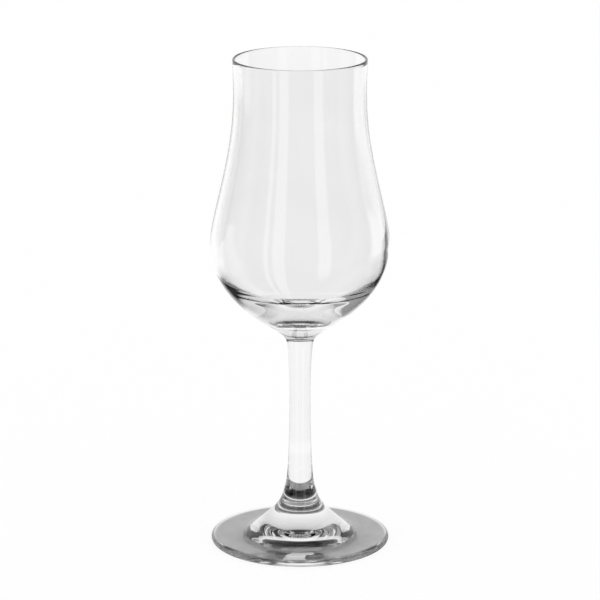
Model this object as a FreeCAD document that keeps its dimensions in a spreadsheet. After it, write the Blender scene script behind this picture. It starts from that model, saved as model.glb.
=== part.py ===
# Small drawn-stem tasting glass for spirits, in millimetres, +Z up, foot standing on Z = 0.
# One solid of revolution: a waisted bowl with a thick base, a slim stem and a disc foot.
import FreeCAD, Part
import os
import Sketcher

V = FreeCAD.Vector

doc = FreeCAD.newDocument("TastingGlass")
sheet = doc.addObject("Spreadsheet::Sheet", "Sizes")

# Driving sizes. A _radius is measured from the axis. The control points of the outer curves
# are stacked from the table to the rim, and each _rise is the height of one above the last.
SIZES = [
    ("foot_radius", 30.0, "outer edge of the foot"),
    ("foot_edge", 2.2, "thickness of the foot at its half-round edge"),
    ("plate_radius", 19.5, "where the flat plate of the foot begins"),
    ("plate_rise", 0.15, "rise of the plate from its edge inwards"),
    ("flare_radius", 18.0, "bottom of the flare on the plate"),
    ("flare_rise", 0.35, "bottom of the flare above the plate"),
    ("cone_radius", 6.45, "top of the flare"),
    ("cone_rise", 10.2, "height of the flare"),
    ("ankle_radius", 5.8, "where the flare runs into the stem"),
    ("ankle_rise", 4.05, "top of the flare up to the ankle"),
    ("shin_rise", 6.05, "ankle up to the even part of the stem"),
    ("stem_radius", 3.57, "slimmest part of the stem"),
    ("stem_rise", 27, "even part of the stem up to its slimmest section"),
    ("reed_rise", 8.57, "slimmest section up to the spread under the bowl"),
    ("throat_radius", 4.19, "top of the stem"),
    ("throat_rise", 10.37, "spread of the stem under the bowl"),
    ("heel_radius", 4.94, "turn from the stem into the bowl"),
    ("heel_rise", 2.94, "height of that turn"),
    ("turn_radius", 20.74, "round under the belly"),
    ("turn_rise", 9.01, "heel up to the round"),
    ("hip_rise", 13.11, "round up to the foot of the belly"),
    ("belly_radius", 29.73, "widest part of the bowl"),
    ("belly_rise", 9.0, "foot of the belly up to the widest section"),
    ("chest_rise", 3.81, "widest section up to where the bowl draws in"),
    ("shoulder_radius", 28.25, "slope of the shoulder"),
    ("shoulder_rise", 6.83, "height of the shoulder above the chest"),
    ("neck_radius", 21.44, "drawn-in neck"),
    ("neck_rise", 28.03, "shoulder up to the neck"),
    ("mouth_radius", 21.8, "slight flare under the rim"),
    ("mouth_rise", 15.36, "neck up to the flare"),
    ("rim_radius", 22.12, "outside of the rim"),
    ("rim_rise", 7.55, "flare up to the start of the rounded lip"),
    ("rim_wall", 0.85, "wall at the rim"),
    ("neck_wall", 1.1, "wall at the neck"),
    ("bowl_wall", 1.5, "wall at the belly"),
    ("base_glass", 7.82, "solid glass from the heel up to the floor of the bowl"),
    ("floor_radius", 3.0, "level middle of the floor"),
    ("dish_radius", 8.5, "where the floor begins to climb"),
    ("dish_drop", 0.95, "control point of that climb below the floor"),
    ("flank_reach", 0.56, "where the climb steepens, out from the round outside"),
    ("flank_glass", 7.01, "that place above the round outside"),
    ("side_tuck", 0.48, "how far the side has drawn in below the belly"),
    ("side_drop", 2.0, "that place below the foot of the belly"),
    ("punt_rise", 4.0, "domed hollow under the middle of the foot"),
    ("punt_radius", 6.0, "level top of that dome"),
    ("dome_radius", 11.0, "round side of the dome"),
    ("dome_drop", 0.9, "that side below the top of the dome"),
    ("brim_radius", 15.0, "foot of the dome"),
    ("brim_rise", 0.9, "foot of the dome above the table"),
    ("apron_radius", 18.0, "shallow part around the dome"),
    ("apron_rise", 0.4, "that part above the table"),
    ("seat_width", 2.6, "flat ring that the foot stands on, in from its round edge"),
]
for row, (name, value, note) in enumerate(SIZES, start=1):
    sheet.set("A%d" % row, name)
    sheet.set("B%d" % row, "%g" % value)
    sheet.set("C%d" % row, note)
    sheet.setAlias("B%d" % row, name)
doc.recompute()


class Size:
    # A length that carries its number and the formula that ties it to the sheet.
    def __init__(self, number, formula):
        self.number, self.formula = number, formula

    def __add__(self, other):
        return Size(self.number + other.number, self.formula + " + " + other.formula)

    def __sub__(self, other):
        return Size(self.number - other.number, self.formula + " - " + other.formula)

    def half(self):
        return Size(self.number / 2, self.formula + " / 2")


S = {name: Size(float(sheet.get(name)), "Sizes." + name) for name, value, note in SIZES}

# Height of every control point above the table, by the rise that ends there.
UP = {}
level = S["foot_edge"]
for name in ["plate_rise", "flare_rise", "cone_rise", "ankle_rise", "shin_rise", "stem_rise", "reed_rise",
             "throat_rise", "heel_rise", "turn_rise", "hip_rise", "belly_rise", "chest_rise",
             "shoulder_rise", "neck_rise", "mouth_rise", "rim_rise"]:
    level = level + S[name]
    UP[name] = level

body = doc.addObject("PartDesign::Body", "GlassBody")
body.Label = "tasting_glass"


def section(name):
    # A sketch in the plane through the axis: across is the radius, up is the height.
    sketch = body.newObject("Sketcher::SketchObject", name)
    plane = [item for item in body.Origin.OriginFeatures if item.Role == "XZ_Plane"][0]
    sketch.AttachmentSupport = [(plane, "")]
    sketch.MapMode = "FlatFace"
    return sketch


def spot(across, up):
    return V(across.number if across else 0.0, up.number if up else 0.0, 0)


def place(sketch, geometry, point, label, across, up):
    # Ties a point to the sheet. No size across puts it on the axis, none up on the table.
    for kind, size, line in (("DistanceX", across, -2), ("DistanceY", up, -1)):
        if size is None:
            sketch.addConstraint(Sketcher.Constraint("PointOnObject", geometry, point, line))
            continue
        made = sketch.addConstraint(Sketcher.Constraint(kind, -1, 1, geometry, point, size.number))
        title = label + kind[-1]
        sketch.renameConstraint(made, title)
        sketch.setExpression("Constraints." + title, size.formula)


def join(sketch, first, first_point, second, second_point):
    sketch.addConstraint(Sketcher.Constraint("Coincident", first, first_point, second, second_point))


def curve(sketch, label, poles, after=None):
    # A cubic spline with every control point placed from the sheet. The first one can be
    # the end of the curve before it, which is placed already.
    spots = [spot(across, up) for across, up in poles]
    marks = [sketch.addGeometry(Part.Circle(each, V(0, 0, 1), 1.0), True) for each in spots]
    made = sketch.addGeometry(Part.BSplineCurve(spots, None, None, False, 3, None, False), False)
    sketch.addConstraint(Sketcher.Constraint("Weight", marks[0], 1.0))
    sketch.addConstraint([Sketcher.Constraint("Equal", marks[0], mark) for mark in marks[1:]])
    role = "InternalAlignment:Sketcher::BSplineControlPoint"
    sketch.addConstraint([Sketcher.Constraint(role, m, 3, made, i) for i, m in enumerate(marks)])
    for index, (across, up) in enumerate(poles):
        if index == 0 and after is not None:
            join(sketch, made, 1, after, 2)
        else:
            place(sketch, marks[index], 3, "%s%d" % (label, index), across, up)
    return made


def line(sketch, start, end):
    return sketch.addGeometry(Part.LineSegment(spot(*start), spot(*end)), False)


# Outer form, as if the glass were filled to the rim. The foot's edge and the lip are
# half-rounds, and the three curves meet upright at the slimmest and the widest section.
edge_in = S["foot_radius"] - S["foot_edge"].half()
lip_in = S["rim_radius"] - S["rim_wall"]
lip_low = UP["rim_rise"]
form = section("OuterForm")
foot_curve = curve(form, "Foot", [
    (edge_in, S["foot_edge"]),
    (S["plate_radius"], UP["plate_rise"]),
    (S["flare_radius"], UP["flare_rise"]),
    (S["cone_radius"], UP["cone_rise"]),
    (S["ankle_radius"], UP["ankle_rise"]),
    (S["stem_radius"], UP["shin_rise"]),
    (S["stem_radius"], UP["stem_rise"]),
])
stem_curve = curve(form, "Stem", [
    (S["stem_radius"], UP["stem_rise"]),
    (S["stem_radius"], UP["reed_rise"]),
    (S["throat_radius"], UP["throat_rise"]),
    (S["heel_radius"], UP["heel_rise"]),
    (S["turn_radius"], UP["turn_rise"]),
    (S["belly_radius"], UP["hip_rise"]),
    (S["belly_radius"], UP["belly_rise"]),
], foot_curve)
bowl_curve = curve(form, "Bowl", [
    (S["belly_radius"], UP["belly_rise"]),
    (S["belly_radius"], UP["chest_rise"]),
    (S["shoulder_radius"], UP["shoulder_rise"]),
    (S["neck_radius"], UP["neck_rise"]),
    (S["mouth_radius"], UP["mouth_rise"]),
    (S["rim_radius"], lip_low),
], stem_curve)
edge_round = S["foot_edge"].half().number
lip_round = S["rim_wall"].half().number
edge_circle = Part.Circle(V(edge_in.number, edge_round, 0), V(0, 0, 1), edge_round)
lip_circle = Part.Circle(V(S["rim_radius"].number - lip_round, lip_low.number, 0), V(0, 0, 1), lip_round)
edge_arc = form.addGeometry(Part.ArcOfCircle(edge_circle, -1.5707963268, 1.5707963268), False)
lip_arc = form.addGeometry(Part.ArcOfCircle(lip_circle, 0.0, 3.1415926536), False)
seat = line(form, (None, None), (edge_in, None))
top = line(form, (lip_in, lip_low), (None, lip_low))
axis = line(form, (None, lip_low), (None, None))
join(form, seat, 1, -1, 1)
join(form, seat, 2, edge_arc, 1)
join(form, edge_arc, 2, foot_curve, 1)
join(form, bowl_curve, 2, lip_arc, 1)
join(form, lip_arc, 2, top, 1)
join(form, top, 2, axis, 1)
join(form, axis, 2, seat, 1)
form.addConstraint(Sketcher.Constraint("Horizontal", seat))
form.addConstraint(Sketcher.Constraint("Vertical", edge_arc, 3, edge_arc, 1))
form.addConstraint(Sketcher.Constraint("Horizontal", top))
form.addConstraint(Sketcher.Constraint("Vertical", axis))
form.addConstraint(Sketcher.Constraint("Horizontal", lip_arc, 3, lip_arc, 1))
across_lip = form.addConstraint(Sketcher.Constraint("DistanceX", lip_arc, 2, lip_arc, 1, 2 * lip_round))
form.renameConstraint(across_lip, "LipWall")
form.setExpression("Constraints.LipWall", S["rim_wall"].formula)
doc.recompute()

blank = body.newObject("PartDesign::Revolution", "Blank")
blank.Profile = form
blank.ReferenceAxis = (form, ["V_Axis"])
blank.Angle = 360.0
doc.recompute()

# Inside of the bowl. Its upper curve keeps a wall inside the outer one, the lower one
# leaves a thick base that thins up the side, and it stays open at the rim.
belly_wall = S["bowl_wall"]
belly_in = S["belly_radius"] - belly_wall
floor = UP["heel_rise"] + S["base_glass"]
hollow = section("BowlInside")
inner_curve = curve(hollow, "Inner", [
    (lip_in, lip_low),
    (S["mouth_radius"] - S["rim_wall"], UP["mouth_rise"]),
    (S["neck_radius"] - S["neck_wall"], UP["neck_rise"]),
    (S["shoulder_radius"] - belly_wall, UP["shoulder_rise"]),
    (belly_in, UP["chest_rise"]),
    (belly_in, UP["belly_rise"]),
])
floor_curve = curve(hollow, "Floor", [
    (belly_in, UP["belly_rise"]),
    (belly_in - S["side_tuck"], UP["hip_rise"] - S["side_drop"]),
    (S["turn_radius"] + S["flank_reach"], UP["turn_rise"] + S["flank_glass"]),
    (S["dish_radius"], floor - S["dish_drop"]),
    (S["floor_radius"], floor),
    (None, floor),
], inner_curve)
core = line(hollow, (None, floor), (None, lip_low))
mouth = line(hollow, (None, lip_low), (lip_in, lip_low))
join(hollow, floor_curve, 2, core, 1)
join(hollow, core, 2, mouth, 1)
join(hollow, mouth, 2, inner_curve, 1)
hollow.addConstraint(Sketcher.Constraint("Vertical", core))
hollow.addConstraint(Sketcher.Constraint("Horizontal", mouth))
doc.recompute()

bowl = body.newObject("PartDesign::Groove", "Bowl")
bowl.Profile = hollow
bowl.ReferenceAxis = (hollow, ["V_Axis"])
bowl.Angle = 360.0
doc.recompute()

# Hollow under the foot, domed in the middle and shallow around it, so that the glass stands
# on a flat ring near its edge.
seat_in = edge_in - S["seat_width"]
under = section("FootUnderside")
punt_curve = curve(under, "Punt", [
    (None, S["punt_rise"]),
    (S["punt_radius"], S["punt_rise"]),
    (S["dome_radius"], S["punt_rise"] - S["dome_drop"]),
    (S["brim_radius"], S["brim_rise"]),
    (S["apron_radius"], S["apron_rise"]),
    (seat_in - S["seat_width"], None),
    (seat_in, None),
])
ground = line(under, (seat_in, None), (None, None))
punt_axis = line(under, (None, None), (None, S["punt_rise"]))
join(under, punt_curve, 2, ground, 1)
join(under, ground, 2, -1, 1)
join(under, punt_axis, 1, -1, 1)
join(under, punt_axis, 2, punt_curve, 1)
doc.recompute()

punt = body.newObject("PartDesign::Groove", "Punt")
punt.Profile = under
punt.ReferenceAxis = (under, ["V_Axis"])
punt.Angle = 360.0
doc.recompute()

# Each cut has to take glass away, and the whole has to be one sound solid.
for item in doc.Objects:
    if "Invalid" in item.State or "Error" in item.State:
        raise RuntimeError("%s did not build" % item.Name)
if body.Shape.isNull() or not body.Shape.isValid() or len(body.Shape.Solids) != 1:
    raise RuntimeError("the glass is not one valid solid")
volumes = [feature.Shape.Volume for feature in (blank, bowl, punt)]
if not volumes[0] > volumes[1] > volumes[2] > 0:
    raise RuntimeError("a cut missed the glass")
print("glass %.1f cm3, hollow %.1f cm3" % (volumes[2] / 1000, (volumes[0] - volumes[1]) / 1000))
print("box", body.Shape.BoundBox)

os.makedirs("parts", exist_ok=True)
body.Shape.exportStep("parts/%s.step" % body.Label)
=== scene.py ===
import math

import bmesh
import bpy
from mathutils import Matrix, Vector


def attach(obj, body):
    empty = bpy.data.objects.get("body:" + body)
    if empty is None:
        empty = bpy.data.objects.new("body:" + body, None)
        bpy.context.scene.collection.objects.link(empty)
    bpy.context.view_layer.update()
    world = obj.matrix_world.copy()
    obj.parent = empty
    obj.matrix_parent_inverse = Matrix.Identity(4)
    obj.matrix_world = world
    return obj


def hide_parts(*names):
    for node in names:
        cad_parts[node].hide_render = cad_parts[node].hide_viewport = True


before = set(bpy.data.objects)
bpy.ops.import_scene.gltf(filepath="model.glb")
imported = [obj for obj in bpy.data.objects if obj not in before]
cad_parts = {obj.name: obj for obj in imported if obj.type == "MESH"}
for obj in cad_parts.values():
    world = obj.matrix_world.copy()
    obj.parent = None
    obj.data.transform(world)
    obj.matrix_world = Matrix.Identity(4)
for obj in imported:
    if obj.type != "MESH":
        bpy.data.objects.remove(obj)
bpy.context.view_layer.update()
MM = 0.001


# The glass: one piece of clear, colourless crystal. Its bowl is blown in a mould, its stem is
# drawn down from the thick base of the bowl, and its foot is pressed on hot. The lines below
# are drawn from the axis outwards, as control points (radius, height) in millimetres.
foot_radius, foot_edge, seat_width, hollow_height = 30.0, 2.2, 2.6, 4.0
rim_radius, rim_wall, lip_height = 22.12, 0.85, 164.58
mouth_radius, mouth_height = 21.8, 157.03
neck_radius, neck_wall, neck_height = 21.44, 1.1, 141.67
shoulder_radius, shoulder_height = 28.25, 113.64
belly_radius, belly_height, belly_top, bowl_wall = 29.73, 103.0, 106.81, 1.5
floor_height = 79.7
stem_radius, knee_height = 3.57, 50.0

edge_centre = foot_radius - foot_edge / 2
seat_inner = edge_centre - seat_width
inside_belly = belly_radius - bowl_wall
punt_line = [(0.0, hollow_height), (6.0, hollow_height), (11.0, 3.1), (15.0, 0.9), (18.0, 0.4),
             (seat_inner - 2.6, 0.0), (seat_inner, 0.0)]
foot_line = [(edge_centre, foot_edge), (19.5, 2.35), (18.0, 2.7), (6.45, 12.9), (5.8, 16.95),
             (stem_radius, 23.0), (stem_radius, knee_height)]
stem_line = [(stem_radius, knee_height), (stem_radius, 58.57), (4.19, 68.94), (4.94, 71.88), (20.74, 80.89),
             (belly_radius, 94.0), (belly_radius, belly_height)]
bowl_line = [(belly_radius, belly_height), (belly_radius, belly_top), (shoulder_radius, shoulder_height),
             (neck_radius, neck_height), (mouth_radius, mouth_height), (rim_radius, lip_height)]
inner_line = [(rim_radius - rim_wall, lip_height), (mouth_radius - rim_wall, mouth_height),
              (neck_radius - neck_wall, neck_height), (shoulder_radius - bowl_wall, shoulder_height),
              (inside_belly, belly_top), (inside_belly, belly_height)]
floor_line = [(inside_belly, belly_height), (27.75, 92.0), (21.3, 87.9), (8.5, 78.75),
              (3.0, floor_height), (0.0, floor_height)]


def drawn(points, fineness):
    # The even line that a row of control points pulls between its two ends.
    data = bpy.data.curves.new("line", "CURVE")
    data.dimensions = "3D"
    spline = data.splines.new("NURBS")
    spline.points.add(len(points) - 1)
    for point, (across, up) in zip(spline.points, points):
        point.co = (across * MM, 0.0, up * MM, 1.0)
    spline.order_u = 4
    spline.use_endpoint_u = True
    spline.resolution_u = fineness
    holder = bpy.data.objects.new("line", data)
    mesh = bpy.data.meshes.new_from_object(holder)
    line = [vertex.co.copy() for vertex in mesh.vertices]
    bpy.data.objects.remove(holder)
    bpy.data.meshes.remove(mesh)
    bpy.data.curves.remove(data)
    return line


def half_round(across, up, radius, start):
    # The points of a rounded edge between its two ends, one every 15 degrees.
    angles = [math.radians(start + step) for step in range(15, 180, 15)]
    spots = [(across + radius * math.cos(angle), up + radius * math.sin(angle)) for angle in angles]
    return [Vector((far * MM, 0.0, high * MM)) for far, high in spots]


profile = drawn(punt_line, fineness=12)
profile += [Vector((edge_centre * MM, 0.0, 0.0))]
profile += half_round(edge_centre, foot_edge / 2, foot_edge / 2, start=-90)
profile += drawn(foot_line, fineness=14)
profile += drawn(stem_line, fineness=16)[1:]
profile += drawn(bowl_line, fineness=11)[1:]
profile += half_round(rim_radius - rim_wall / 2, lip_height, rim_wall / 2, start=0)
profile += drawn(inner_line, fineness=11)
profile += drawn(floor_line, fineness=18)[1:]

# The section is spun through one sector, and the sector is then copied round.
sectors, steps_each = 8, 26
shape = bmesh.new()
chain = [shape.verts.new(point) for point in profile]
edges = [shape.edges.new(pair) for pair in zip(chain, chain[1:])]
axis = {"cent": (0, 0, 0), "axis": (0, 0, 1), "dvec": (0, 0, 0), "use_merge": False, "use_normal_flip": False}
one_sector, the_others = math.tau / sectors, math.tau * (sectors - 1) / sectors
bmesh.ops.spin(shape, geom=chain + edges, angle=one_sector, steps=steps_each, use_duplicate=False, **axis)
sector = shape.verts[:] + shape.edges[:] + shape.faces[:]
bmesh.ops.spin(shape, geom=sector, angle=the_others, steps=sectors - 1, use_duplicate=True, **axis)
bmesh.ops.remove_doubles(shape, verts=shape.verts, dist=1e-7)
bmesh.ops.recalc_face_normals(shape, faces=shape.faces)
for face in shape.faces:
    face.smooth = True
glass_mesh = bpy.data.meshes.new("tasting_glass_clear")
shape.to_mesh(glass_mesh)
shape.free()
glass = bpy.data.objects.new("tasting_glass_clear", glass_mesh)
bpy.context.collection.objects.link(glass)


class Shade:
    # A socket in a tree of nodes. Sums written on it become Math nodes.
    def __init__(self, tree, socket=None):
        self.tree, self.socket = tree, socket

    def node(self, kind, settings=None, sockets=None, out=0):
        made = self.tree.nodes.new("ShaderNode" + kind)
        for name, value in (settings or {}).items():
            setattr(made, name, value)
        for name, value in (sockets or {}).items():
            if isinstance(value, Shade):
                self.tree.links.new(value.socket, made.inputs[name])
            else:
                made.inputs[name].default_value = value
        return Shade(self.tree, made.outputs[out])

    def into(self, socket):
        self.tree.links.new(self.socket, socket)

    def sum(self, operation, first, second=0.0):
        return self.node("Math", {"operation": operation}, {0: first, 1: second})

    def __add__(self, other):
        return self.sum("ADD", self, other)

    def __sub__(self, other):
        return self.sum("SUBTRACT", self, other)

    def __rsub__(self, other):
        return self.sum("SUBTRACT", other, self)

    def __mul__(self, other):
        return self.sum("MULTIPLY", self, other)

    def larger(self, other):
        return self.sum("MAXIMUM", self, other)

    def ramp(self, low, high):
        # 0 below low and 1 above high, with a soft step between them.
        return self.node("MapRange", {"interpolation_type": "SMOOTHSTEP"},
                         {"Value": self, "From Min": low, "From Max": high, "To Min": 0.0, "To Max": 1.0})

    def happened(self):
        # 1 where a count is one or more, and 0 where it is none.
        return self.ramp(0.4, 0.6)

    __radd__, __rmul__ = __add__, __mul__


# The crystal is clear and fire-polished all over. Faint uneven cords, and rings left by the
# drawing of the stem, run through the thick glass of the foot, stem and base, and die out
# above the floor of the bowl, where the wall gets thin.
refraction, wave_height = 1.52, 0.01
greyer, clearer = (0.985, 0.985, 0.985, 1.0), (0.995, 0.995, 0.995, 1.0)
cord_grain = {"Scale": 55.0, "Detail": 2.0, "Roughness": 0.45, "Distortion": 0.6}
rings_per_metre = (12.0, 12.0, 160.0)
clear = bpy.data.materials.new("clear crystal")
clear.use_nodes = True
gloss = clear.node_tree.nodes["Principled BSDF"]
gloss.inputs["Transmission Weight"].default_value = 1.0
gloss.inputs["IOR"].default_value = refraction
gloss.inputs["Roughness"].default_value = 0.0
crystal = Shade(clear.node_tree)
spot = crystal.node("TexCoord", out="Object")
above_seat = crystal.node("SeparateXYZ", sockets={0: spot}, out="Z")
cords = crystal.node("TexNoise", sockets={"Vector": spot, **cord_grain})
flattened = crystal.node("VectorMath", {"operation": "MULTIPLY"}, {0: spot, 1: rings_per_metre})
rings = crystal.node("TexNoise", sockets={"Vector": flattened, "Scale": 1.0, "Detail": 1.0})
thick = 1 - above_seat.ramp(0.080, 0.092)
waves = {"Height": (cords + rings) * thick, "Strength": 1.0, "Distance": wave_height * MM}
crystal.node("Bump", sockets=waves, out="Normal").into(gloss.inputs["Normal"])
tint = crystal.node("Mix", {"data_type": "RGBA"}, {0: cords.ramp(0.35, 0.65), 6: greyer, 7: clearer}, out=2)
tint.into(gloss.inputs["Base Color"])
glass_mesh.materials.append(clear)
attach(glass, "root")
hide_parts("tasting_glass")


# The white board that the glass stands on: a sheet of matt white card, laid a hair below the
# foot. Seen straight it is plain white, and seen through the glass it is white beyond the
# foot and carries a painted shadow under it.
board_size, board_drop, board_white = 1.5, 0.05, 0.9
table_mesh = bpy.data.meshes.new("table")
board = bmesh.new()
bmesh.ops.create_grid(board, x_segments=1, y_segments=1, size=board_size)
bmesh.ops.translate(board, verts=board.verts, vec=(0, 0, -board_drop * MM))
board.to_mesh(table_mesh)
board.free()
table = bpy.data.objects.new("table", table_mesh)
table.visible_glossy = False
bpy.context.collection.objects.link(table)

paint = bpy.data.materials.new("white board")
paint.use_nodes = True
matt = paint.node_tree.nodes["Principled BSDF"]
matt.inputs["Base Color"].default_value = (board_white, board_white, board_white, 1.0)
matt.inputs["Roughness"].default_value = 1.0
matt.inputs["Specular IOR Level"].default_value = 0.0
shade = Shade(paint.node_tree)
straight, by_board = [shade.node("LightPath", out=kind) for kind in ("Is Camera Ray", "Is Diffuse Ray")]
mirrored = shade.node("LightPath", out="Glossy Depth").happened()
place = shade.node("TexCoord", out="Object")
outward = shade.node("VectorMath", {"operation": "LENGTH"}, {0: place}, out="Value")
across, along = [shade.node("SeparateXYZ", sockets={0: place}, out=part) for part in ("X", "Y")]
bearing = shade.sum("ARCTAN2", across, 0 - along) * math.degrees(1)

# The foot's shadow is painted on the board: deepest in the middle, and ending under the foot's edge.
middle_light, edge_light, full_light = 0.05, 0.28, 1.0
past_foot = outward.ramp((foot_radius - 2) * MM, foot_radius * MM)
under_edge = outward.ramp(0.006, 0.028)
painted_foot_shadow = middle_light + under_edge * (edge_light - middle_light) + past_foot * (full_light - edge_light)

# A ragged patch of painted light, standing in for the light that the flare of the foot
# gathers, lies on the board under its front, with painted shade on both sides of it. A faint
# painted mottling runs through all of the shade. Bearings are in degrees round from the front to the right.
patch_light, side_loss, mottle, even_loss, raggedness = 0.43, 0.2, 0.2, 0.02, 34
ripple = shade.node("TexNoise", sockets={"Vector": place, "Scale": 160.0, "Detail": 2.0}) - 0.5
streak = bearing + ripple * raggedness
lit = streak.ramp(-12, -9) * (1 - streak.ramp(6, 9)) * outward.ramp(0.0185, 0.021)
dimmed = streak.ramp(-36, -28) * (1 - streak.ramp(-12, -10)) + streak.ramp(7, 9) * (1 - streak.ramp(15, 22))
dimmed = dimmed * outward.ramp(0.0175, 0.0205)
mottling_noise = {"Scale": 200.0, "Detail": 2.0, "Distortion": 1.0}
painted_mottling = shade.node("TexNoise", sockets={"Vector": place, **mottling_noise}) - 0.5
painted_caustic_patch = (lit * patch_light - dimmed * side_loss + painted_mottling * mottle - even_loss) * (1 - past_foot)

# Light that was mirrored inside the glass finds painted shade on the board: a dark strip
# behind to the right, and a dark ring close round the foot. In all other directions it
# finds no board beyond 6 to 8 cm, but the room.
dark_strip_loss, near_loss = 0.97, 0.9
behind_right = bearing.ramp(126, 133)
painted_dark_strip = behind_right * (1 - bearing.ramp(156, 168)) * (1 - outward.ramp(0.6, 0.67))
painted_dark_ring = past_foot * (1 - outward.ramp(0.046, 0.056))
darkened = (1 - mirrored * painted_dark_strip * dark_strip_loss) * (1 - mirrored * painted_dark_ring * near_loss)
painted_ground = (painted_foot_shadow + painted_caustic_patch) * darkened
beyond = mirrored * outward.ramp(0.06, 0.08) * (1 - behind_right)

# Seen straight, a small share of the card is left matt, so that it keeps a trace of shadow.
shadow_share = 0.15
# The card glows: plain white seen straight, and with the painted shade and light of the ground seen through
# the glass.
bright = shade.node("Emission", sockets={"Color": straight.larger(painted_ground)})
card = Shade(paint.node_tree, matt.outputs[0])
surface = shade.node("MixShader", sockets={0: straight * shadow_share + by_board, 1: bright, 2: card})
open_board = shade.node("MixShader", sockets={0: beyond, 1: surface, 2: shade.node("BsdfTransparent")})
open_board.into(paint.node_tree.nodes["Material Output"].inputs["Surface"])
table_mesh.materials.append(paint)


# The studio round the board: plain white for all that is seen straight or only through the
# glass. Light that is mirrored in the glass comes from white screens on both sides under a
# dark ceiling, a low white strip behind, and three upright lamps in a dark room in front.
world = bpy.data.worlds.new("studio")
bpy.context.scene.world = world
world.use_nodes = True
studio = Shade(world.node_tree)
toward = studio.node("TexCoord", out="Generated")
x, y, z = [studio.node("SeparateXYZ", sockets={0: toward}, out=part) for part in ("X", "Y", "Z")]
turn = studio.sum("ARCTAN2", x, 0 - y) * math.degrees(1)
rise = studio.sum("ARCSINE", z) * math.degrees(1)
path_kinds = ("Is Camera Ray", "Glossy Depth", "Diffuse Depth", "Transmission Depth")
path = [studio.node("LightPath", out=kind) for kind in path_kinds]
first_seen, mirrorings, scatterings, walls_passed = path


def upright(left, right, soft, level):
    # A lamp or screen between two directions, in degrees round from the camera to the right.
    return turn.ramp(left - soft, left + soft) * (1 - turn.ramp(right - soft, right + soft)) * level


lamp_light, fill_light, room_light, white, soft_light = 0.75, 0.4, 0.03, 1.0, 1.11
side_light, upper_loss, ceiling_loss = 0.85, 0.5, 0.9
paler_side = side_light + turn.ramp(140, 160) * (white - side_light)
right_screen = turn.ramp(98, 112) * rise.ramp(-20, -16) * paler_side
left_screen = (1 - turn.ramp(-121, -116)) * rise.ramp(-27, -20)
upwards = (1 - rise.ramp(-5, 60) * upper_loss) * (1 - rise.ramp(45, 58) * ceiling_loss)
screens = (right_screen + left_screen) * upwards
fill = upright(-125, -75, 8, fill_light)
strip = (turn.ramp(156, 168) + 1 - turn.ramp(-164, -148)) * (1 - rise.ramp(-12, -8))

# The lamps draw the streaks on the near side of the bowl. Light that has passed more than
# two of the glass's surfaces doesn't show them.
left_lamps = upright(-48.6, -42.2, 0.3, lamp_light) + upright(-36.0, -19.8, 0.4, lamp_light)
right_lamp = upright(23.8, 40.6, 0.4, lamp_light)
lamps = (left_lamps * rise.ramp(-75, -70) + right_lamp * rise.ramp(-36, -30)) * (1 - rise.ramp(55, 65))
lamps = lamps * (1 - walls_passed.ramp(2.4, 2.6))
reflected = screens.larger(strip).larger(lamps).larger(fill).larger(room_light)
glass_sees = studio.node("Mix", {"data_type": "FLOAT"}, {0: mirrorings.happened(), 2: white, 3: reflected})
lights = studio.node("Mix", {"data_type": "FLOAT"}, {0: scatterings.happened(), 2: glass_sees, 3: soft_light})
light = first_seen + (1 - first_seen) * lights
light.into(world.node_tree.nodes["Background"].inputs["Color"])

# In the thick base and foot the light is mirrored many times before it leaves the glass.
cycles = bpy.context.scene.cycles
cycles.glossy_bounces, cycles.transmission_bounces, cycles.max_bounces = 16, 16, 24


# The camera: about a metre in front of the glass and well above its rim, looking down at it
# by 15 degrees. Its lens is given in the picture's own pixels, its place in millimetres.
lens_px, picture_width, sensor_width = 3162.1, 600, 36.0
distance, camera_height, pitch = 1015.3, 354.6, 14.95
camera_data = bpy.data.cameras.new("camera")
camera_data.sensor_width = sensor_width
camera_data.lens = lens_px * sensor_width / picture_width
camera = bpy.data.objects.new("camera", camera_data)
camera.location = (0.0, -distance * MM, camera_height * MM)
camera.rotation_euler = (math.radians(90 - pitch), 0.0, 0.0)
bpy.context.collection.objects.link(camera)
bpy.context.scene.camera = camera
bpy.context.scene.view_settings.view_transform = "Standard"
